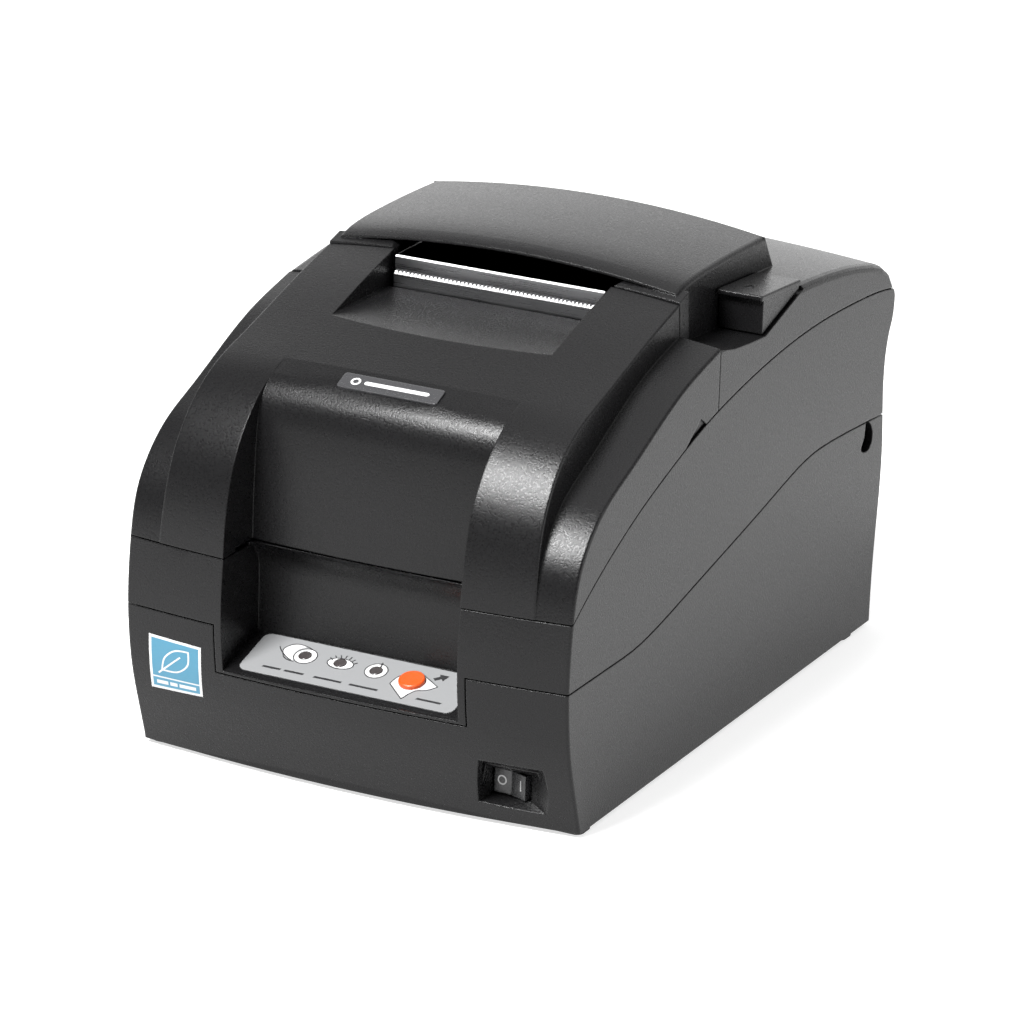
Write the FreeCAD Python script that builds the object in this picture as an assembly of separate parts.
import FreeCAD, Part
import math
import os

# Receipt printer: a two-tone black desktop impact printer with a front cover, a rear roll
# cover, a release lever and a small control panel. Millimetres. While it is being built,
# y is measured backwards from the lower front corner, x is 0 on the centre plane and z is 0
# under the feet. save() moves every piece so that the origin is the bottom centre of the box.

Vec = FreeCAD.Vector

# ---------------------------------------------------------------- driving dimensions
HALF_WIDTH = 80.0
WALL = 2.5
SEAM_GAP = 0.5
CASE_BOTTOM = 1.6
COVER_REAR = 92.5
REAR_WALL = 231.5
CENTRE_Y = 110.2711

BOW_RADIUS = 500.0
BOW_TILT = math.radians(35.0)
BOW_POINT = (-15.0, 75.0)
BOW_HALF_ANGLE = 13.0

SHOULDER_CROWN_RADIUS = 855.0
SHOULDER_PEAK_Z = 146.8
HOOD_CROWN_RADIUS = 390.0
HOOD_PEAK_Z = 163.0
HOOD_HALF = 62.5
HOOD_EDGE_R = 1.3
SHOULDER_EDGE_R = 2.4
COLLAR_CROWN_RADIUS = 640.0
COLLAR_PEAK_Z = 156.2
COLLAR_REAR = 99.4
MOUTH_HALF = 40.0

RIDGE_HALF_TOP = 64.6
RIDGE_TOP_Z = 152.0
RIDGE_DRAFT = 0.045

RECESS_HALF = 42.8
COLUMN_BOTTOM_Z = 75.3
PANEL_TAB_HALF = 45.6
PANEL_TAB_BOTTOM = 35.8
PANEL_SLOPE = 0.30
PANEL_FRONT_Y = -12.0
PANEL_FRONT_Z = 37.3
PANEL_BACK_Y = 9.5

WINDOW_HALF = 40.0
TRAY_Z = 140.6
TRAY_REAR = 88.4

HOOD_HINGE = (232.0, 118.8)
HOOD_BARREL_R = 3.6
HINGE_PIN_R = 1.2
COVER_AXIS = (-14.75, 75.2)
LEVER_AXIS = (151.5, 142.0)

LABEL_HALF = 39.0
LED_X = (-20.8, -7.9, 5.2)
LED_UP = 14.2
LENS_R = 2.3
BUTTON_X = 19.1
BUTTON_UP = 12.6
BUTTON_R = 4.4
SWITCH_AXIS = (55.6, 3.2)
ROCKER_TILT = 12.0

SIDE_PLATE = 58.8
SHAFT = (50.0, 84.0, 4.0)
PULLEY_X = 46.0
PULLEY_Y = 38.0
PULLEY_R = 6.0
KNOB = (34.0, 31.0)
ROLLER = (92.0, 74.0)
PRESSURE = (81.8, 74.0)
IDLER = (92.0, 57.88)
MOTOR = (83.0, 51.3)
CRADLE = (163.0, 99.0)
PORT_REAR = 231.0

os.makedirs("parts", exist_ok=True)


# ---------------------------------------------------------------- small helpers
def box(x0, x1, y0, y1, z0, z1):
    return Part.makeBox(x1 - x0, y1 - y0, z1 - z0, Vec(x0, y0, z0))


def rod_x(x0, x1, y, z, r):
    return Part.makeCylinder(r, x1 - x0, Vec(x0, y, z), Vec(1, 0, 0))


def rod_y(y0, y1, x, z, r):
    return Part.makeCylinder(r, y1 - y0, Vec(x, y0, z), Vec(0, 1, 0))


def rod_z(z0, z1, x, y, r):
    return Part.makeCylinder(r, z1 - z0, Vec(x, y, z0), Vec(0, 0, 1))


def ring_x(x0, x1, y, z, outer, inner):
    return rod_x(x0, x1, y, z, outer).cut(rod_x(x0 - 1, x1 + 1, y, z, inner))


def fuse(*shapes):
    whole = shapes[0]
    for shape in shapes[1:]:
        whole = whole.fuse(shape)
    return whole.removeSplitter()


def mirrored(shape):
    return shape.mirror(Vec(0, 0, 0), Vec(1, 0, 0))


def curve(points, plane="yz", level=0.0):
    """A smooth curve through a few points of one plane."""
    spots = [lift(p, plane, level) for p in points]
    spline = Part.BSplineCurve()
    spline.interpolate(spots)
    return spline.toShape()


def lift(point, plane, level):
    if plane == "yz":
        return Vec(level, point[0], point[1])
    if plane == "xz":
        return Vec(point[0], level, point[1])
    return Vec(point[0], point[1], level)


def outline(parts, plane="yz", level=0.0):
    """A closed face from stretches: each is a list of points, smooth if it has over 2."""
    edges = []
    for index, stretch in enumerate(parts):
        if len(stretch) > 2:
            edges.append(curve(stretch, plane, level))
        else:
            edges.append(Part.makeLine(lift(stretch[0], plane, level), lift(stretch[1], plane, level)))
        following = parts[(index + 1) % len(parts)]
        start = lift(stretch[-1], plane, level)
        end = lift(following[0], plane, level)
        if start.distanceToPoint(end) > 1e-6:
            edges.append(Part.makeLine(start, end))
    return Part.Face(Part.Wire(Part.__sortEdges__(edges)))


def polygon(points, plane="yz", level=0.0):
    spots = [lift(p, plane, level) for p in points]
    return Part.Face(Part.makePolygon(spots + [spots[0]]))


def prism_x(points, x0, x1):
    return polygon(points, "yz", x0).extrude(Vec(x1 - x0, 0, 0))


def prism_y(points, y0, y1):
    return polygon(points, "xz", y0).extrude(Vec(0, y1 - y0, 0))


def prism_z(points, z0, z1):
    return polygon(points, "xy", z0).extrude(Vec(0, 0, z1 - z0))


def inset(points, distance):
    """The same open curve moved to its right-hand side by a distance."""
    moved = []
    for index, (a, b) in enumerate(points):
        before = points[max(index - 1, 0)]
        after = points[min(index + 1, len(points) - 1)]
        run = (after[0] - before[0], after[1] - before[1])
        length = math.hypot(*run)
        moved.append((a + distance * run[1] / length, b - distance * run[0] / length))
    return moved


def bowed(face, half_width):
    """Turns a centre-plane face into a body whose front and top are gently bowed."""
    out = Vec(0, -math.cos(BOW_TILT), math.sin(BOW_TILT))
    pivot = Vec(0, BOW_POINT[0], BOW_POINT[1]) - out * BOW_RADIUS
    axis = Vec(0, math.sin(BOW_TILT), math.cos(BOW_TILT))
    start = face.copy()
    start.rotate(pivot, axis, -BOW_HALF_ANGLE)
    body = start.revolve(pivot, axis, 2 * BOW_HALF_ANGLE)
    return body.common(box(-half_width, half_width, -60, 240, -20, 200))


def crowned(face, peak_z, radius, half_width):
    """Turns a centre-plane face into a body whose top is an arc across the width."""
    pivot = Vec(0, 0, peak_z - radius)
    half_angle = math.degrees(math.asin(half_width / radius)) + 1.0
    start = face.copy()
    start.rotate(pivot, Vec(0, 1, 0), -half_angle)
    body = start.revolve(pivot, Vec(0, 1, 0), 2 * half_angle)
    return body.common(box(-half_width, half_width, -60, 260, -20, 200))


def rounded(shape, radius, chosen):
    """Fillets the chosen edges, one at a time if they can't all be done together."""
    edges = [edge for edge in shape.Edges if chosen(edge)]
    try:
        result = shape.makeFillet(radius, edges)
        if result.isValid():
            return result
    except Exception:
        pass
    print("fillet left out", radius, len(edges))
    return shape


def edge_facets(profile, peak_z, radius, half_width, size, stations=22):
    """A tool that trims the long side edge of a crowned body with three narrow facets."""
    line = curve(profile)
    sections = []
    for index in range(stations + 1):
        along = line.FirstParameter + (line.LastParameter - line.FirstParameter) * index / stations
        spot = line.valueAt(along)
        reach = radius - peak_z + spot.z

        def top(x):
            return spot.z - reach + math.sqrt(reach ** 2 - x ** 2)

        corner = top(half_width)
        points = [(half_width - size, top(half_width - size)),
                  (half_width - 0.5 * size, top(half_width - 0.5 * size) - 0.13 * size),
                  (half_width - 0.13 * size, corner - 0.45 * size),
                  (half_width, corner - size), (half_width + 6, corner - size),
                  (half_width + 6, corner + 9), (half_width - size, corner + 9)]
        spots = [lift(p, "xz", spot.y) for p in points]
        sections.append(Part.makePolygon(spots + [spots[0]]))
    tool = Part.makeLoft(sections, True, True)
    return [tool, mirrored(tool)]


def save(name, *shapes):
    """Writes one node, moved to the finished frame."""
    solids = []
    for shape in shapes:
        solids.extend(shape.Solids)
    for solid in solids:
        assert solid.isValid() and solid.Volume > 0, name
    whole = solids[0] if len(solids) == 1 else Part.makeCompound(solids)
    whole.translate(Vec(0, -CENTRE_Y, 0))
    whole.exportStep("parts/" + name + ".step")
    limits = whole.optimalBoundingBox()
    print("%-24s %2d solids  %9.1f mm3  x %.1f %.1f  y %.1f %.1f  z %.1f %.1f" % (
        name, len(solids), whole.Volume, limits.XMin, limits.XMax,
        limits.YMin, limits.YMax, limits.ZMin, limits.ZMax))


# ---------------------------------------------------------------- outer curves (y, z)
# The flank curve is the outline of the side of the case, from behind the cover to the floor.
FLANK_SIDE = [(104, 141.2), (92.5, 138.2), (66.7, 131.7), (48, 124.2), (28.8, 115.6), (11, 107.4),
              (0.6, 98.6), (-5.0, 90.6), (-8.0, 82.0), (-9.4, 74.0), (-10.9, 54.0), (-10.3, 43.0),
              (-8.3, 30.1), (-3.9, 15.0), (0.8, 0.0)]
FLANK = [(y - 5.75, z + 4.0) for y, z in FLANK_SIDE]
RAISED = [(104, 157.2), (92.5, 154.0), (70, 148.0), (48.4, 141.4), (30, 135.8), (16, 131.2),
          (3.4, 123.2), (-4.3, 114.8), (-9.8, 105.4), (-12.9, 96.0), (-14.9, 85.0), (-15.7, 72.0)]
RECESS = [(34, 137.6), (24, 134.2), (19, 132.2), (16, 131.1), (14, 130.2), (11, 128), (8.5, 125),
          (6.6, 121), (5.2, 114), (4.2, 104), (3.5, 92), (3.4, 70)]
SHOULDER = [(86, 141.6), (120, 145.4), (151, 146.8), (178, 145.0), (200, 142.0), (215, 138.9),
            (225, 135.7), (231.6, 130.9), (235.0, 125.0), (235.6, 119.5)]
HOOD_TOP = [(95.5, 157.7), (99.4, 159.0), (105.7, 160.0), (122, 160.8), (141, 160.9), (162.4, 160.4)]
HOOD_UNDER = [(90, 154.6), (95.5, 156.8), (99.4, 157.3), (105.7, 157.5), (122, 158.1), (141, 158.4),
              (160.6, 158.0)]
LOWER_SEAM = [(-40, 52.6), (-10, 52.6), (22, 52.6), (36, 52.9), (48, 54.4), (72, 59.2), (105, 66.2),
              (140, 73.9), (160, 78.3), (172, 79.8), (186, 79.9), (210, 78.7), (260, 76.9)]
UPPER_SEAM = [(-9.6, 75.3), (0.5, 81.8), (10, 87.2), (23.3, 93.8), (38.9, 100.5), (54, 105.9), (68, 110.5),
              (80, 114.0), (92.5, 117.0), (110, 120.3), (130, 123.2), (152, 125.3), (178, 126.1),
              (205, 125.2), (222, 123.9), (232, 122.4)]


def under(seam, offset):
    """Everything below a seam curve, moved up or down by an offset."""
    moved = [(y, z + offset) for y, z in seam]
    level = moved[0][1]
    stretches = [[(-60, level), moved[0]], moved, [(moved[-1][0], -30), (-60, -30)]]
    return outline(stretches, "yz", -100).extrude(Vec(200, 0, 0))


def flank_body(thickness):
    points = inset(FLANK, -thickness) if thickness else FLANK
    floor = -12 - thickness
    face = outline([points, [(points[-1][0], floor), (104 + 2 * thickness, floor)]])
    return bowed(face, HALF_WIDTH - thickness)


def raised_prism(thickness):
    half_low = RIDGE_HALF_TOP + RIDGE_DRAFT * (RIDGE_TOP_Z - 60) - thickness
    half_high = RIDGE_HALF_TOP - RIDGE_DRAFT * 18 - thickness
    return prism_y([(-half_low, 60), (half_low, 60), (half_high, RIDGE_TOP_Z + 18),
                    (-half_high, RIDGE_TOP_Z + 18)], -40, 110 + thickness)


def raised_body(thickness):
    points = inset(RAISED, -thickness) if thickness else RAISED
    back = 104 + 2 * thickness
    face = outline([points, [(60 + thickness, points[-1][1]), (back, 90 - thickness)]])
    return bowed(face, HALF_WIDTH).common(raised_prism(thickness))


def recess_tool(thickness):
    """The space in front of the sunken middle of the cover."""
    points = inset(RECESS, -thickness) if thickness else RECESS
    face = outline([points, [(-60, points[-1][1]), (-60, 160)], [(points[0][0] - 4, 160), points[0]]])
    return bowed(face, RECESS_HALF + thickness)


def ridge_edge(edge):
    limits = edge.BoundBox
    side = 64.0 < min(abs(limits.XMin), abs(limits.XMax)) and limits.XLength < 5
    return side and limits.YLength > 60


def flank_top_edge(edge):
    limits = edge.BoundBox
    side = abs(abs(limits.XMin) - HALF_WIDTH) < 0.01 and abs(limits.XMax - limits.XMin) < 0.01
    return side and limits.YLength > 60 and limits.ZMax > 130


def rear_body(inward):
    """The straight rear half of the case with its drafted back and the bulge at the hinge."""
    back = [(227.8, CASE_BOTTOM), (228.8, 28), (231.4, 64.5), (231.5, 104.5), (232.8, 107.8),
            (234.8, 112.0), (235.5, 115.5), (235.6, 118.8)]
    top = [(235.6, 118.8), (234.55, 121.35), (232.0, 122.4)]
    if inward:
        points = [(80, CASE_BOTTOM), (227.8 - inward, CASE_BOTTOM), (228.8 - inward, 28),
                  (231.4 - inward, 64.5), (REAR_WALL - inward, 200), (80, 200)]
        return prism_x(points, -HALF_WIDTH + inward, HALF_WIDTH - inward)
    face = outline([back[:4] + back[4:5], back[4:], top, [(232, 170), (80, 170)], [(80, CASE_BOTTOM), back[0]]])
    half = face.extrude(Vec(HALF_WIDTH, 0, 0))
    return fuse(half, mirrored(half))


def plain_slab(z0, z1):
    return box(-100, 100, -60, 260, z0, z1)


# ---------------------------------------------------------------- casings
case_flank = rounded(flank_body(0.0), 1.0, flank_top_edge)
case_hollow = flank_body(WALL)
raised = rounded(raised_body(0.0), 0.7, ridge_edge)
raised_hollow = raised_body(WALL)
case_outer = case_flank.cut(box(-100, 100, 92, 260, -20, 200)).fuse(
    rear_body(0.0).cut(box(-100, 100, 0, 92, -20, 200))).removeSplitter()
case_inner = case_hollow.cut(box(-100, 100, 92, 260, -20, 200)).fuse(
    rear_body(WALL).cut(box(-100, 100, 0, 92, -20, 200))).removeSplitter()
case_inner = case_inner.cut(plain_slab(-30, CASE_BOTTOM + WALL))
below_lower_seam = under(LOWER_SEAM, -SEAM_GAP / 2)
above_lower_seam = under(LOWER_SEAM, SEAM_GAP / 2)
side_bands = fuse(box(77, 100, -60, 260, -20, 200), box(-100, -77, -60, 260, -20, 200))


def front_cover():
    seam = under(UPPER_SEAM, SEAM_GAP / 2).common(side_bands)
    low = plain_slab(-30, COLUMN_BOTTOM_Z + SEAM_GAP / 2)
    middle_low = box(-RECESS_HALF - WALL - 0.1, RECESS_HALF + WALL + 0.1, -6, 60, 60, 76.75)
    rear = box(-100, 100, COVER_REAR - SEAM_GAP / 2, 260, -30, 200)
    outer = case_flank.fuse(raised).cut(recess_tool(0.0)).cut(rear)
    tray = box(-WINDOW_HALF, WINDOW_HALF, 40, 120, TRAY_Z, 200)
    tray_end = box(-WINDOW_HALF, WINDOW_HALF, TRAY_REAR, 120, 100, 200)
    outer = outer.cut(tray).cut(tray_end)
    hollow = case_hollow.fuse(raised_hollow).cut(recess_tool(WALL))
    hollow = hollow.cut(box(-WINDOW_HALF - WALL, WINDOW_HALF + WALL, 38, 120, TRAY_Z - WALL, 200))
    shell = outer.cut(hollow).cut(seam).cut(low).cut(middle_low)
    for side in (-1, 1):
        scoop = prism_x([(66.4, 109.4), (79.4, 118.0), (86.4, 113.4), (80, 103)], 79.2, 81)
        shell = shell.cut(scoop if side > 0 else mirrored(scoop))
        tab = box(47, 57, -9.9, -8.1, 69.5, 80)
        foot = box(47, 57, -10.9, -8.1, 78, 80)
        shell = shell.fuse(fuse(tab, foot) if side > 0 else mirrored(fuse(tab, foot)))
    return shell.removeSplitter()


def panel_frame(shape):
    """Moves a piece drawn flat at the origin onto the sloping control panel."""
    placed = shape.copy()
    placed.rotate(Vec(0, 0, 0), Vec(1, 0, 0), math.degrees(math.atan(PANEL_SLOPE)))
    placed.translate(Vec(0, PANEL_FRONT_Y, PANEL_FRONT_Z))
    return placed


def panel_recess(half, floor_drop, grow):
    """The hollow above the control panel, open to the front."""
    low_front = (PANEL_FRONT_Y, PANEL_FRONT_Z - floor_drop)
    low_back = (PANEL_BACK_Y + grow, PANEL_FRONT_Z + PANEL_SLOPE * (PANEL_BACK_Y - PANEL_FRONT_Y) - floor_drop)
    lip = [(PANEL_BACK_Y + grow, 65.5), (8.6 + grow, 69.6), (6.6 + grow, 73.2), (3.2 + grow, 76.3)]
    front = [(-40, 100), (-40, 37.0 - floor_drop)]
    stretches = [lip, [(3.2 + grow, 100), front[0]], [front[1], (-12.6, 37.0 - floor_drop)],
                 [low_front, low_back]]
    return outline(stretches, "yz", -half).extrude(Vec(2 * half, 0, 0))


def middle_case():
    above = case_outer.cut(above_lower_seam)
    tab = case_outer.common(box(-PANEL_TAB_HALF + SEAM_GAP / 2, PANEL_TAB_HALF - SEAM_GAP / 2,
                                -40, 2, PANEL_TAB_BOTTOM + SEAM_GAP / 2, 60))
    outer = above.fuse(tab)
    roof = box(-100, 100, -60, 232, -10, 300).cut(under(UPPER_SEAM, -SEAM_GAP / 2)).common(side_bands)
    front_top = box(-77.01, 77.01, -40, 30, COLUMN_BOTTOM_Z - SEAM_GAP / 2, 200)
    rear_top = box(-77.01, 77.01, 29, 228.5, 60, 200)
    ear_top = box(-77.01, 77.01, 228, 232, 122.4, 200)
    shell = outer.cut(case_inner).cut(roof).cut(rear_top).cut(ear_top).cut(box(-100, 100, 232, 260, 119, 200).common(
        box(-74.3, 74.3, 0, 300, 0, 300)))
    shell = shell.cut(front_top)
    side_wall = RECESS_HALF + 2.0
    block = fuse(box(-side_wall, side_wall, -8.0, PANEL_BACK_Y + 2.2, 34.0, 76.0),
                 box(-side_wall, side_wall, -16.0, -7.9, PANEL_TAB_BOTTOM + SEAM_GAP / 2, 76.0)).common(case_outer)
    block = block.cut(box(-side_wall - 1, side_wall + 1, -40, 2.9, COLUMN_BOTTOM_Z - SEAM_GAP / 2, 100))
    keel = polygon([(-40, 20), (14, 20), (14, 43.1), (PANEL_FRONT_Y, PANEL_FRONT_Z - 2.2), (-40, 34.8)], "yz", -100)
    block = block.cut(keel.extrude(Vec(200, 0, 0)).cut(box(-100, 100, -40, -11.4, 0, 100)))
    shell = shell.fuse(block).cut(panel_recess(RECESS_HALF, 0.0, 0.0))
    for x in LED_X:
        shell = shell.cut(panel_frame(rod_z(-8, 8, x, LED_UP, LENS_R + 0.1)))
    shell = shell.cut(panel_frame(rod_z(-8, 8, BUTTON_X, BUTTON_UP, BUTTON_R + 0.35)))
    groove = rod_x(-74.3, 74.3, HOOD_HINGE[0], HOOD_HINGE[1], HOOD_BARREL_R + 0.3)
    wide_groove = rod_x(-74.3, 74.3, HOOD_HINGE[0], HOOD_HINGE[1], HOOD_BARREL_R + 2.2).common(
        box(-80, 80, 231, 260, 100, 130))
    shell = shell.cut(groove).cut(wide_groove)
    for side in (-1, 1):
        ear = fuse(rod_x(74.6, 78, HOOD_HINGE[0], HOOD_HINGE[1], HOOD_BARREL_R),
                   box(74.6, 78, 228.0, 234.6, 104, HOOD_HINGE[1] - 1))
        pin_hole = rod_x(60, 78.5, HOOD_HINGE[0], HOOD_HINGE[1], HINGE_PIN_R)
        shell = shell.fuse(ear if side > 0 else mirrored(ear))
        shell = shell.cut(pin_hole if side > 0 else mirrored(pin_hole))
    for x in (-29, 29):
        post = rod_z(-6.0, -1.0, x, 13.0, 2.6).cut(rod_z(-7.0, -2.9, x, 13.0, 1.0))
        shell = shell.fuse(panel_frame(post))
    lip = box(76.2, 77.5, 14, 222, 40, 95).common(under(LOWER_SEAM, 3.0)).cut(under(LOWER_SEAM, -3.5))
    return shell.fuse(lip).fuse(mirrored(lip)).removeSplitter()


def lower_case():
    outer = case_outer.common(below_lower_seam).cut(plain_slab(-30, CASE_BOTTOM))
    shell = outer.cut(case_inner)
    notch = box(-PANEL_TAB_HALF - SEAM_GAP / 2, PANEL_TAB_HALF + SEAM_GAP / 2, -40, 2,
                PANEL_TAB_BOTTOM - SEAM_GAP / 2, 60)
    shell = shell.cut(notch)
    shell = shell.fuse(switch_funnel(2.0).common(box(42, 77, -4, 0, 5, 26)).common(case_outer))
    shell = shell.fuse(box(45.9, 65.3, -0.1, 2.0, 6.0, 21.5))
    shell = shell.cut(switch_funnel(0.0)).cut(box(48.4, 62.8, -1, 3, 9.3, 18.3))
    for x in (-1, 1):
        for y in (25, 212):
            shell = shell.fuse(rod_z(3.0, 8.0, 66 * x, y, 4.5)).cut(rod_z(4.5, 9.0, 66 * x, y, 1.5))
    shell = shell.cut(box(-21.5, 17.5, 222.0, 240, 15.2, 31.5)).cut(box(37.8, 52.2, 224.0, 240, 15.2, 30.2))
    shell = shell.cut(rod_y(222.0, 240, -46, 23.4, 7.4))
    shell = shell.cut(box(-54.4, -37.6, 223.0, 225.6, 15.2, 31.6))
    for side in (-1, 1):
        for slot in bean_slots():
            shell = shell.cut(slot if side > 0 else mirrored(slot))
    return shell.removeSplitter()


def bean_slots():
    points = [(215.6, 77.9), (218.6, 77.6), (221.2, 75.0), (222.2, 71.5), (220.6, 68.2), (216.5, 67.2),
              (212.6, 69.2), (214.6, 72.5), (215.3, 75.5)]
    return [outline([points + points[:1]], "yz", 70).extrude(Vec(20, 0, 0))]


def shoulder_body(inward):
    points = inset(SHOULDER, inward) if inward else SHOULDER
    face = outline([points, [(points[-1][0] - 8, 100 - inward), (points[0][0], 100 - inward)]])
    return crowned(face, SHOULDER_PEAK_Z, SHOULDER_CROWN_RADIUS, HALF_WIDTH - inward)


def hood_body(inward):
    """The raised middle of the roll cover, open at the front where the paper comes out."""
    top = HOOD_UNDER if inward else HOOD_TOP
    low = 129.5 - 12.0 * inward
    face = outline([top, [top[-1], (171.5 - inward, 146.0 - inward)], [(171.5 - inward, low), (top[0][0], low)]])
    return crowned(face, HOOD_PEAK_Z, HOOD_CROWN_RADIUS, HOOD_HALF - inward)


def collar_body():
    """The band at the front of the hood that carries on the line of the front cover."""
    front = COVER_REAR + SEAM_GAP / 2
    face = polygon([(front, 154.3), (COLLAR_REAR, COLLAR_PEAK_Z), (COLLAR_REAR, 129.5), (front, 129.5)])
    half_low = RIDGE_HALF_TOP + RIDGE_DRAFT * (RIDGE_TOP_Z - 90)
    half_high = RIDGE_HALF_TOP - RIDGE_DRAFT * 18
    sides = prism_y([(-half_low, 90), (half_low, 90), (half_high, 170), (-half_high, 170)], 80, 110)
    under_face = polygon([(front + 2.4, 152.6), (110, 158.0), (110, 90), (front + 2.4, 90)])
    hollow = crowned(under_face, COLLAR_PEAK_Z, COLLAR_CROWN_RADIUS, HOOD_HALF - WALL)
    band = crowned(face, COLLAR_PEAK_Z, COLLAR_CROWN_RADIUS, HALF_WIDTH).common(sides)
    return band.cut(hollow)


def collar_mouth():
    """The opening through the collar, with a rounded corner at each end of the lip."""
    half = [(0, 100), (MOUTH_HALF, 100), (MOUTH_HALF, 151.0), (MOUTH_HALF + 0.5, 152.3),
            (MOUTH_HALF + 1.5, 153.3), (MOUTH_HALF + 3.5, 154.2), (MOUTH_HALF + 3.5, 170), (0, 170)]
    right = prism_y(half, 85, 101)
    return fuse(right, mirrored(right))


def pocket(drop, x0):
    floor = [(90, 138.0 - drop), (103, 135.2 - drop), (115, 134.0 - drop), (127.3, 133.1 - drop)]
    return prism_x(floor + [(153.4, 140.9 - drop), (156.8, 141.5 - drop), (156.8, 190), (90, 190)], x0, 90)


def roll_cover():
    shoulder = shoulder_body(0.0)
    for tool in edge_facets(SHOULDER, SHOULDER_PEAK_Z, SHOULDER_CROWN_RADIUS, HALF_WIDTH, SHOULDER_EDGE_R):
        shoulder = shoulder.cut(tool)
    shoulder = shoulder.cut(pocket(0.0, 58))
    inner_shoulder = shoulder_body(WALL).cut(pocket(WALL, 58 - WALL))
    hood = hood_body(0.0)
    for tool in edge_facets(HOOD_TOP, HOOD_PEAK_Z, HOOD_CROWN_RADIUS, HOOD_HALF, HOOD_EDGE_R):
        hood = hood.cut(tool)
    outer = shoulder.fuse(hood)
    outer = outer.cut(box(-100, 100, -50, COVER_REAR + SEAM_GAP / 2, -20, 250))
    shell = outer.cut(inner_shoulder.fuse(hood_body(WALL)))
    shell = shell.fuse(collar_body()).cut(collar_mouth().cut(hood_body(0.0).cut(hood_body(WALL))))
    seam = under(UPPER_SEAM, SEAM_GAP / 2)
    below = seam.cut(box(-74.3, 74.3, 229.2, 260, 0, 200))
    shell = shell.cut(below)
    tail = box(-100, 100, 234.6, 260, 0, 123).cut(box(-74.3, 74.3, 230, 270, 0, 200))
    shell = shell.cut(tail)
    shell = shell.cut(box(-100, 100, 229, 260, 0, HOOD_HINGE[1]))
    shell = shell.fuse(rod_x(-74, 74, HOOD_HINGE[0], HOOD_HINGE[1], HOOD_BARREL_R))
    for side in (-1, 1):
        clear = rod_x(74, 90, HOOD_HINGE[0], HOOD_HINGE[1], HOOD_BARREL_R + 0.3)
        hole = rod_x(64, 90, HOOD_HINGE[0], HOOD_HINGE[1], HINGE_PIN_R + 0.05)
        for tool in (clear, hole):
            shell = shell.cut(tool if side > 0 else mirrored(tool))
    return shell.removeSplitter()


# ---------------------------------------------------------------- release lever
def lever_arm_slot():
    return box(63.9, 70.1, 130.0, 147.0, 120.0, 143.3)


def release_lever():
    plate = prism_x([(124.3, 145.55), (124.3, 147.4), (155.5, 145.15), (155.5, 143.3)], 62.9, 79.4)
    plate = rounded(plate, 0.6, lambda edge: edge.BoundBox.ZMin > 145.0 and edge.BoundBox.ZMax > 145.1)
    block = prism_x([(126.6, 133.7), (152.5, 141.5), (155.0, 142.4), (155.0, 143.4), (126.6, 145.7)], 63.1, 79.0)
    barrel = rod_x(63.1, 77.2, LEVER_AXIS[0], LEVER_AXIS[1], 2.0)
    arm = box(64.5, 69.5, 139.0, 145.0, 116.0, 142.0)
    hook = prism_x([(139, 114), (147, 114), (149, 118), (139, 118)], 64.5, 69.5)
    arrow = prism_z([(67.4, 133.2), (72.0, 133.2), (70.0, 137.5)], 146.0, 148.0)
    body = fuse(plate, block, barrel, arm, hook).cut(arrow)
    return body.cut(rod_x(60, 77.1, LEVER_AXIS[0], LEVER_AXIS[1], 1.05))


# ---------------------------------------------------------------- control panel
def control_label():
    sheet = prism_z([(-LABEL_HALF, 1.2), (LABEL_HALF, 1.2), (LABEL_HALF, 21.6), (-LABEL_HALF, 21.6)], 0, 0.4)
    sheet = rounded(sheet, 2.8, lambda edge: edge.BoundBox.ZLength > 0.3)
    for x in LED_X:
        sheet = sheet.cut(rod_z(-1, 1, x, LED_UP, LENS_R + 0.1))
    return panel_frame(sheet.cut(rod_z(-1, 1, BUTTON_X, BUTTON_UP, BUTTON_R + 0.4)))


def status_lenses():
    lenses = []
    for x in LED_X:
        lens = fuse(rod_z(-6.0, 0.7, x, LED_UP, LENS_R), rod_z(-6.0, -2.4, x, LED_UP, LENS_R + 0.5))
        lenses.append(panel_frame(rounded(lens, 0.5, lambda edge: abs(edge.BoundBox.ZMin - 0.7) < 0.01)))
    return lenses


def feed_button():
    cap = rounded(rod_z(-3.6, 1.9, BUTTON_X, BUTTON_UP, BUTTON_R), 0.7,
                  lambda edge: abs(edge.BoundBox.ZMin - 1.9) < 0.01)
    return panel_frame(fuse(cap, rod_z(-3.6, -2.5, BUTTON_X, BUTTON_UP, BUTTON_R + 1.2)))


def panel_board():
    board = box(-33, 33, 7.0, 19.0, -7.6, -6.0)
    for x in (-29, 29):
        board = board.cut(rod_z(-9, -4, x, 13.0, 1.0))
    return panel_frame(board)


def panel_screws():
    return [panel_frame(fuse(rod_z(-9.2, -7.6, x, 13.0, 2.2), rod_z(-7.7, -3.0, x, 13.0, 1.0)))
            for x in (-29, 29)]


# ---------------------------------------------------------------- power switch
def switch_funnel(grow):
    """The flared opening in front of the rocker: a small throat and a wide slanting mouth."""
    throat = [(48.4, 9.3), (62.8, 9.3), (62.8, 18.3), (48.4, 18.3)]
    mouth = [(46.2, -4.6, 7.6), (69.5, -2.4, 7.1), (70.5, -7.9, 24.2), (48.4, -9.9, 24.1)]
    outward = [(-1, -1), (1, -1), (1, 1), (-1, 1)]
    near = []
    far = []
    for (tx, tz), (mx, my, mz), (ox, oz) in zip(throat, mouth, outward):
        stretch = 16.0 / -my
        near.append(Vec(tx + (mx - tx) * stretch + ox * grow, -16.0, tz + (mz - tz) * stretch + oz * grow))
        far.append(Vec(tx + ox * grow, 0.0, tz + oz * grow))
    return Part.makeLoft([Part.makePolygon(near + near[:1]), Part.makePolygon(far + far[:1])], True, True)


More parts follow.
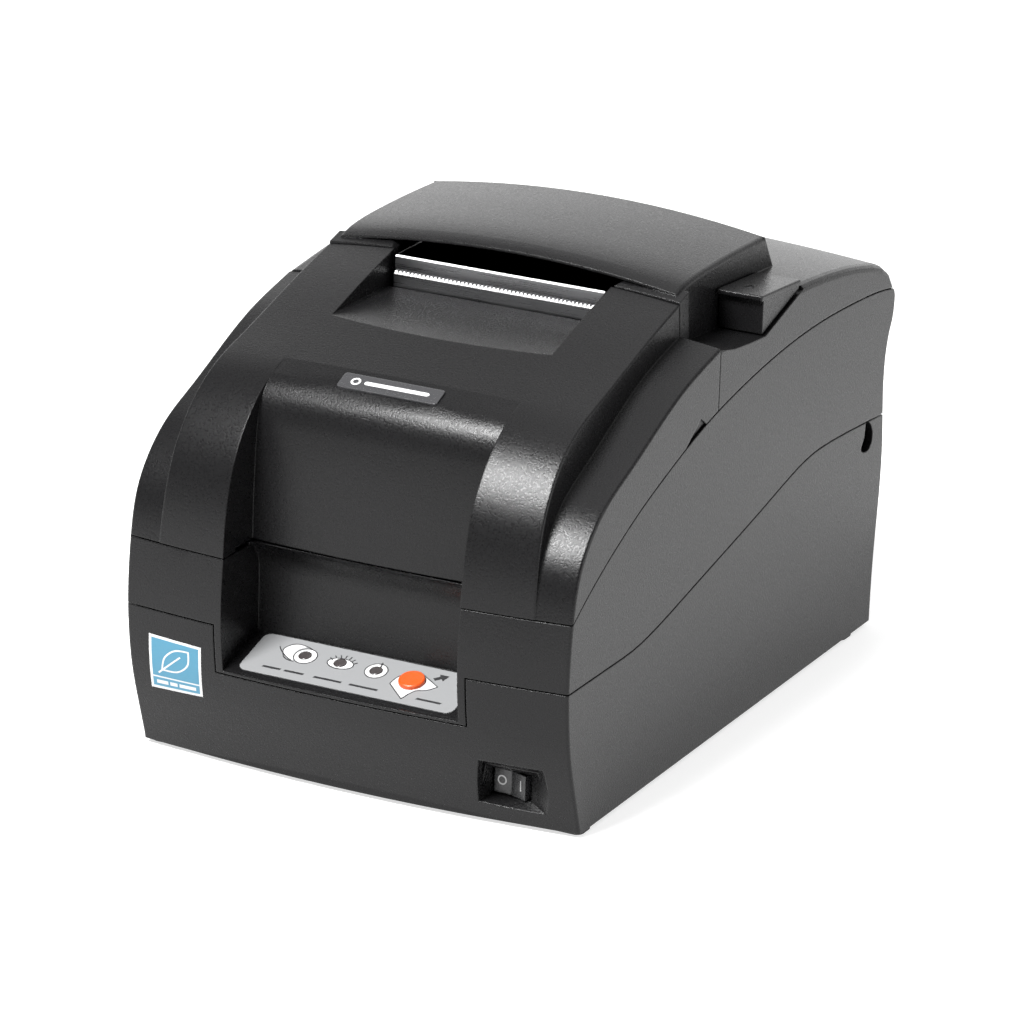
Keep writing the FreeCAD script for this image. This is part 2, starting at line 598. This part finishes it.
def power_switch_body():
    body = box(46.9, 64.3, 2.0, 15.0, 6.6, 21.0)
    body = body.cut(box(48.4, 62.8, 1.0, 10.6, 9.3, 18.3))
    body = body.cut(rod_z(8.6, 19.0, SWITCH_AXIS[0], SWITCH_AXIS[1], 0.85))
    blades = [box(SWITCH_AXIS[0] + x - 0.4, SWITCH_AXIS[0] + x + 0.4, 14.9, 17.4, 12.0, 16.0) for x in (-4, 4)]
    return fuse(body, *blades)


def power_rocker():
    cx, cy = SWITCH_AXIS
    face = [(-6.3, -3.2), (0, -2.2), (6.3, -3.2), (6.5, 0.6), (3.5, 4.0), (-3.5, 4.0), (-6.5, 0.6)]
    body = fuse(prism_z([(cx + u, cy + v) for u, v in face], 9.6, 18.0), rod_z(8.7, 18.9, cx, cy, 0.8))
    body.rotate(Vec(cx, cy, 0), Vec(0, 0, 1), -ROCKER_TILT)
    return body


# ---------------------------------------------------------------- chassis
def chassis_frame():
    base = box(-74, 74, 18, 222, 8.0, 9.2)
    side = prism_x([(18, 8.5), (18, 112), (80, 131), (91.5, 129.2), (91.5, 125.4), (100, 125.4), (100, 8.5)],
                   SIDE_PLATE, SIDE_PLATE + 1.2)
    shelf = box(-SIDE_PLATE, SIDE_PLATE, 20, 56, 66.0, 67.2)
    ledge = box(50, SIDE_PLATE, 24, 40, 106.8, 108.0)
    post = box(70.5, 73.5, 144, 151, 9.0, 113.0)
    catch = box(70.5, 73.5, 139, 151, 109.0, 113.0)
    frame = fuse(base, side, mirrored(side), shelf, ledge, mirrored(ledge), post, catch)
    for x in (-1, 1):
        for y in (25, 212):
            frame = frame.cut(rod_z(5, 12, 66 * x, y, 1.6))
        for y in (108, 214):
            frame = frame.cut(rod_z(5, 12, 58 * x, y, 1.25))
    frame = frame.cut(rod_z(60, 70, -PULLEY_X, PULLEY_Y, 2.2)).cut(rod_z(60, 70, PULLEY_X, PULLEY_Y, 1.5))
    frame = frame.cut(rod_x(-62, 62, SHAFT[0], SHAFT[1], SHAFT[2]))
    frame = frame.cut(rod_x(-62, 62, ROLLER[0], ROLLER[1], 5.0))
    frame = frame.cut(rod_x(-62, 62, PRESSURE[0], PRESSURE[1], 1.55))
    frame = frame.cut(rod_x(50, 62, IDLER[0], IDLER[1], 1.5))
    return frame.cut(rod_x(50, 62, MOTOR[0], MOTOR[1], 5.2))


def chassis_screws():
    return [fuse(rod_z(9.2, 11.0, x * 66, y, 3.0), rod_z(4.6, 9.3, x * 66, y, 1.5))
            for x in (-1, 1) for y in (25, 212)]


# ---------------------------------------------------------------- print mechanism
def carriage():
    body = box(-18, 18, 28, 62, 78.6, 94)
    body = body.cut(box(-19, 19, 27, 44, 90, 95)).cut(box(-19, 19, 27, 34.5, 75, 82))
    saddle = box(-9, 9, 48, 51.5, 93.5, 98).cut(rod_y(40, 90, 0, 106.0, 12.0))
    clamp = fuse(box(-6, 6, 42.0, 43.95, 70.4, 79.0), box(-6, 6, 45.35, 47.2, 70.4, 79.0))
    return fuse(body, saddle, clamp).cut(rod_x(-30, 30, SHAFT[0], SHAFT[1], SHAFT[2] + 0.05))


def print_head():
    body = rod_y(48, 78, 0, 106.0, 12.0)
    nose = Part.makeCone(12.0, 4.5, 5.0, Vec(0, 78, 106), Vec(0, 1, 0))
    tip = rod_y(83, 85.4, 0, 106.0, 4.5)
    fins = [rod_y(y, y + 1.5, 0, 106.0, 13.0).cut(box(-14, 14, 40, 90, 90, 94)) for y in (52, 55, 58, 61, 64, 67)]
    return fuse(body, nose, tip, *fins)


def ribbon_cassette():
    body = box(-57, 57, 18, 46, 108.0, 120.0)
    arms = [box(48, 57, 45, 84, 108, 118), box(-57, -48, 45, 84, 108, 118)]
    tape = box(-56, 56, 85.7, 85.8, 101.0, 112.0)
    tips = [box(54.5, 57, 83, 86.2, 100, 118), box(-57, -54.5, 83, 86.2, 100, 118)]
    whole = fuse(body, *arms, *tips, tape)
    return whole.cut(rod_z(114, 121, KNOB[0], KNOB[1], 2.05))


def ribbon_knob():
    cap = rod_z(120.1, 123.6, KNOB[0], KNOB[1], 7.0)
    for turn in range(10):
        notch = rod_z(119, 125, KNOB[0] + 7.4 * math.cos(turn * math.pi / 5),
                      KNOB[1] + 7.4 * math.sin(turn * math.pi / 5), 1.2)
        cap = cap.cut(notch)
    return fuse(cap, rod_z(114.5, 120.2, KNOB[0], KNOB[1], 2.0))


def drive_belt():
    def loop(r):
        bar = box(-PULLEY_X, PULLEY_X, PULLEY_Y - r, PULLEY_Y + r, 70.6, 75.4)
        return fuse(bar, rod_z(70.6, 75.4, -PULLEY_X, PULLEY_Y, r), rod_z(70.6, 75.4, PULLEY_X, PULLEY_Y, r))
    return loop(PULLEY_R + 1.2).cut(loop(PULLEY_R + 0.1))


def pulley(x):
    wheel = rod_z(70.2, 75.8, x, PULLEY_Y, PULLEY_R)
    return fuse(wheel, rod_z(69.6, 70.2, x, PULLEY_Y, PULLEY_R - 2))


def drive_pulley():
    return fuse(pulley(-PULLEY_X), rod_z(58.0, 77.0, -PULLEY_X, PULLEY_Y, 1.5))


def tension_pulley():
    return pulley(PULLEY_X).cut(rod_z(60, 80, PULLEY_X, PULLEY_Y, 1.55))


def tension_pin():
    return fuse(rod_z(65.0, 77.0, PULLEY_X, PULLEY_Y, 1.5), rod_z(67.2, 69.4, PULLEY_X, PULLEY_Y, 3.0))


def carriage_motor():
    can = rounded(rod_z(40, 66, -PULLEY_X + 9.0, PULLEY_Y, 15.5), 1.5, lambda edge: edge.BoundBox.ZMax < 41)
    hub = rod_z(40, 66, -PULLEY_X, PULLEY_Y, 5.0)
    return fuse(can, hub).cut(rod_z(57, 70, -PULLEY_X, PULLEY_Y, 1.55))


def gear(axis, tip, teeth, x0, x1):
    wheel = rod_x(x0, x1, axis[0], axis[1], tip)
    for index in range(teeth):
        angle = 2 * math.pi * index / teeth
        reach = tip + 0.25
        gap = rod_x(x0 - 1, x1 + 1, axis[0] + reach * math.cos(angle), axis[1] + reach * math.sin(angle),
                    1.5 * tip / teeth)
        wheel = wheel.cut(gap)
    return wheel


def feed_roller():
    shaft = rod_x(-62, 67.5, ROLLER[0], ROLLER[1], 3.0)
    rubber = rod_x(-50, 50, ROLLER[0], ROLLER[1], 6.0)
    return fuse(shaft, rubber)


def roller_gear():
    return gear(ROLLER, 9.0, 24, 62.0, 66.0).cut(rod_x(60, 70, ROLLER[0], ROLLER[1], 3.0))


def roller_bushes():
    return [ring_x(57.0, 60.8, ROLLER[0], ROLLER[1], 5.0, 3.05), ring_x(-60.8, -57.0, ROLLER[0], ROLLER[1], 5.0, 3.05)]


def pressure_roller():
    return fuse(rod_x(-61, 61, PRESSURE[0], PRESSURE[1], 1.5), rod_x(-46, 46, PRESSURE[0], PRESSURE[1], 4.0))


def idler_gear():
    return gear(IDLER, 7.0, 19, 62.0, 66.0).cut(rod_x(60, 70, IDLER[0], IDLER[1], 1.55))


def idler_pin():
    return fuse(rod_x(58.8, 67.4, IDLER[0], IDLER[1], 1.5), rod_x(60.0, 61.6, IDLER[0], IDLER[1], 3.0),
                rod_x(66.4, 67.4, IDLER[0], IDLER[1], 2.6))


def motor_pinion():
    return fuse(gear(MOTOR, 4.0, 11, 62.0, 66.0), rod_x(50.0, 66.6, MOTOR[0], MOTOR[1], 1.5))


def feed_motor():
    can = rod_x(36, 58.8, MOTOR[0], MOTOR[1], 15.0)
    return fuse(can, rod_x(58.7, 60.4, MOTOR[0], MOTOR[1], 5.2)).cut(rod_x(48, 62, MOTOR[0], MOTOR[1], 1.55))


def tear_bar():
    strip = rounded(box(-38.5, 38.5, 90.4, 91.6, 116.0, 151.0), 0.5,
                    lambda edge: edge.BoundBox.ZMin > 150.9 and edge.BoundBox.XLength > 60)
    blade = box(-38.5, 38.5, 89.5, 90.5, 140.0, 145.0)
    teeth = []
    for index in range(53):
        x = -38.2 + index * 1.45
        shape = [(x, 144.9), (x, 145.4), (x + 0.3, 145.9), (x + 0.7, 145.9), (x + 1.0, 145.4), (x + 1.0, 144.9)]
        teeth.append(prism_y(shape, 89.5, 90.5))
    return fuse(strip, blade, *teeth).fuse(box(-SIDE_PLATE, SIDE_PLATE, 90.4, 91.6, 116.0, 127.0)).removeSplitter()


def paper_guide():
    points = [(98.6, 60), (99.8, 60), (99.8, 84), (106, 92), (105.1, 92.9), (98.6, 84.6)]
    return prism_x(points, -SIDE_PLATE, SIDE_PLATE)


def platen():
    return box(-SIDE_PLATE, SIDE_PLATE, 87.0, 90.2, 98.0, 114.0)


def paper_cradle():
    y, z = CRADLE
    bowl = ring_x(-42.5, 42.5, y, z, 45.5, 43.0).cut(box(-50, 50, 100, 220, z, 160))
    cheek = rod_x(40.5, 42.5, y, z, 44.0).cut(box(40, 43, 100, 220, z, 160))
    leg = fuse(box(42.4, 68.0, y - 8, y + 8, 86, 88.5), box(65.5, 68.0, y - 8, y + 8, 9.2, 88.5))
    return fuse(bowl, cheek, mirrored(cheek), leg, mirrored(leg))


# ---------------------------------------------------------------- electronics
def board_spots():
    return [(x, y) for x in (-58, 58) for y in (108, 214)]


def main_board():
    board = box(-62, 62, 102, 221, 14.0, 15.6)
    for x, y in board_spots():
        board = board.cut(rod_z(10, 20, x, y, 1.25))
    return board


def board_spacers():
    return [rod_z(9.2, 14.0, x, y, 2.6).cut(rod_z(9, 15, x, y, 1.25)) for x, y in board_spots()]


def board_screws():
    return [fuse(rod_z(7.2, 15.7, x, y, 1.2), rod_z(15.6, 17.2, x, y, 2.4)) for x, y in board_spots()]


def capacitors():
    return [rounded(rod_z(15.6, 29.0, x, y, 5.0), 0.6, lambda edge: edge.BoundBox.ZMin > 28.9)
            for x, y in ((-50, 190), (-50, 176), (-38, 190))]


def chips():
    return [box(-14, 10, 120, 144, 15.6, 17.4), box(22, 40, 124, 134, 15.6, 17.2), box(22, 40, 140, 150, 15.6, 17.2)]


def interface_connector():
    shell = box(-21, 17, 213.0, 226.0, 15.6, 31.0)
    lip = prism_y([(-13.5, 28.6), (9.5, 28.6), (8.2, 18.8), (-12.2, 18.8)], 225.9, PORT_REAR)
    hollow = prism_y([(-12.6, 27.8), (8.6, 27.8), (7.4, 19.6), (-11.4, 19.6)], 221.0, PORT_REAR + 1)
    pins = []
    for row, count in ((25.4, 13), (22.0, 12)):
        for index in range(count):
            pins.append(rod_y(220.5, 227.0, -2.0 + (index - (count - 1) / 2) * 1.38, row, 0.35))
    return fuse(shell, lip).cut(hollow).fuse(Part.makeCompound(pins)).removeSplitter()


def drawer_connector():
    body = box(38.0, 52.0, 211.0, PORT_REAR, 15.6, 30.0)
    socket = fuse(box(40.0, 50.0, 216.0, PORT_REAR + 1, 18.0, 25.5), box(42.5, 47.5, 216.0, PORT_REAR + 1, 25.4, 28.0))
    return body.cut(socket)


def power_inlet():
    body = fuse(box(-54, -38, 213.0, 225.6, 15.6, 31.2), rod_y(225.5, PORT_REAR, -46, 23.4, 7.2))
    body = body.cut(rod_y(217, PORT_REAR + 1, -46, 23.4, 5.6))
    pins = [rod_y(216.5, 227.0, -46 + 3.0 * math.cos(a), 23.4 + 3.0 * math.sin(a), 0.8)
            for a in (math.pi / 2, math.pi * 7 / 6, math.pi * 11 / 6)]
    return fuse(body, *pins)


def name_plate():
    plate = box(-18.0, 18.0, 0.0, 7.1, -0.7, 0.45)
    plate = rounded(plate, 0.9, lambda edge: edge.BoundBox.ZLength > 1.0)
    plate.rotate(Vec(0, 0, 0), Vec(1, 0, 0), 22.5)
    plate.translate(Vec(0, 13.7, 130.0))
    return plate


def feet():
    return [rounded(box(x - 5.5, x + 5.5, y - 4.5, y + 4.5, 0, CASE_BOTTOM), 2.5,
                    lambda edge: edge.BoundBox.ZLength > 1.0)
            for x in (-73.5, 73.5) for y in (7.5, 212)]


def hinge_pins(y, z, r, spans):
    return [rod_x(x0, x1, y, z, r) for x0, x1 in spans]


# ---------------------------------------------------------------- write every node
cover = front_cover()
badge = name_plate()
save("front_cover", cover.cut(badge))
save("name_plate", badge)
save("middle_case", middle_case())
save("lower_case", lower_case())
hood = roll_cover().cut(lever_arm_slot())
hood = hood.cut(rod_x(62.7, 77.6, LEVER_AXIS[0], LEVER_AXIS[1], 2.3))
save("roll_cover", hood.cut(rod_x(60.6, 63.5, LEVER_AXIS[0], LEVER_AXIS[1], 1.0)))
save("release_lever", release_lever())
save("lever_pin", rod_x(60.6, 77.0, LEVER_AXIS[0], LEVER_AXIS[1], 1.0))
save("roll_cover_hinge_pin", *hinge_pins(HOOD_HINGE[0], HOOD_HINGE[1], HINGE_PIN_R, ((66, 78), (-78, -66))))
save("control_label", control_label())
save("status_lens", *status_lenses())
save("feed_button", feed_button())
save("panel_board", panel_board())
save("panel_screw", *panel_screws())
save("power_switch_body", power_switch_body())
save("power_rocker", power_rocker())
save("chassis_frame", chassis_frame())
save("chassis_screw", *chassis_screws())
save("carriage", carriage())
save("carriage_shaft", rod_x(-61, 61, SHAFT[0], SHAFT[1], SHAFT[2]))
save("print_head", print_head())
save("ribbon_cassette", ribbon_cassette())
save("ribbon_knob", ribbon_knob())
save("drive_belt", drive_belt())
save("drive_pulley", drive_pulley())
save("tension_pulley", tension_pulley())
save("tension_pin", tension_pin())
save("carriage_motor", carriage_motor())
save("feed_roller", feed_roller())
save("roller_gear", roller_gear())
save("roller_bush", *roller_bushes())
save("pressure_roller", pressure_roller())
save("idler_gear", idler_gear())
save("idler_pin", idler_pin())
save("motor_pinion", motor_pinion())
save("feed_motor", feed_motor())
save("tear_bar", tear_bar())
save("paper_guide", paper_guide())
save("platen", platen())
save("paper_cradle", paper_cradle())
save("main_board", main_board())
save("board_spacer", *board_spacers())
save("board_screw", *board_screws())
save("board_capacitor", *capacitors())
save("board_chip", *chips())
save("interface_connector", interface_connector())
save("drawer_connector", drawer_connector())
save("power_inlet", power_inlet())
save("rubber_foot", *feet())
